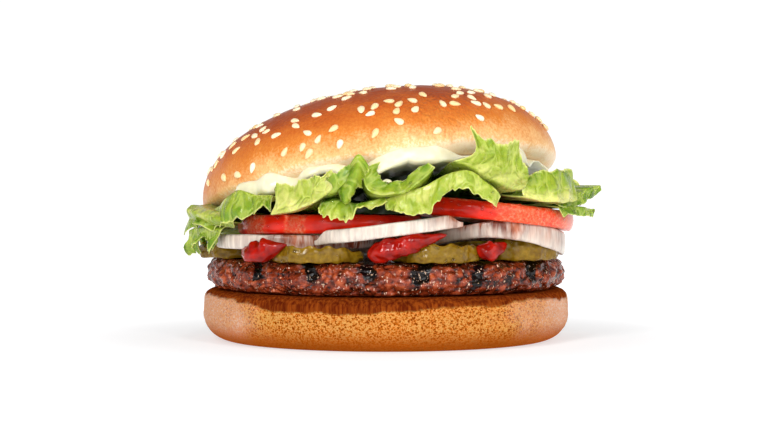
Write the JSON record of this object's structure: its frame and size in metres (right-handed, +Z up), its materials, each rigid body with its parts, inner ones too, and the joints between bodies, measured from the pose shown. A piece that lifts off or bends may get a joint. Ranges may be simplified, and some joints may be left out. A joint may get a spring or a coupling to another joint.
{
  "type": "hamburger",
  "caption": "Flame-grilled beef patty in a seeded bun with pickle, onion, tomato, lettuce, mayonnaise and ketchup.",
  "frame": {"origin": "centre of the heel's flat underside, which the burger rests on", "axes": "+Z up; -Y towards the side that shows the fillings; +X to the right as seen from there"},
  "size_m": [0.134, 0.1288, 0.0835],
  "materials": {
    "bun_heel": "toasted bread crust, matt and slightly rough",
    "grilled_beef": "flame-grilled minced beef, moist",
    "pickle": "wet gherkin",
    "ketchup": "glossy tomato ketchup",
    "onion": "wet raw onion",
    "tomato": "wet tomato flesh and skin",
    "lettuce": "fresh lettuce leaf, waxy sheen",
    "mayonnaise": "smooth glossy mayonnaise",
    "bun_crust": "golden baked crust with sesame seeds, soft sheen"
  },
  "bodies": {
    "root": {"heel": "bun_heel", "patty": "grilled_beef", "pickle_left": "pickle", "pickle_front_left": "pickle", "pickle_front_right": "pickle", "pickle_right": "pickle", "pickle_back_right": "pickle", "pickle_back_left": "pickle", "ketchup_left": "ketchup", "ketchup_middle": "ketchup", "ketchup_right": "ketchup", "onion_left": "onion", "onion_middle": "onion", "onion_right": "onion", "onion_back": "onion", "tomato_left": "tomato", "tomato_right": "tomato", "lettuce": "lettuce", "mayonnaise": "mayonnaise", "crown": "bun_crust"}
  },
  "joints": []
}
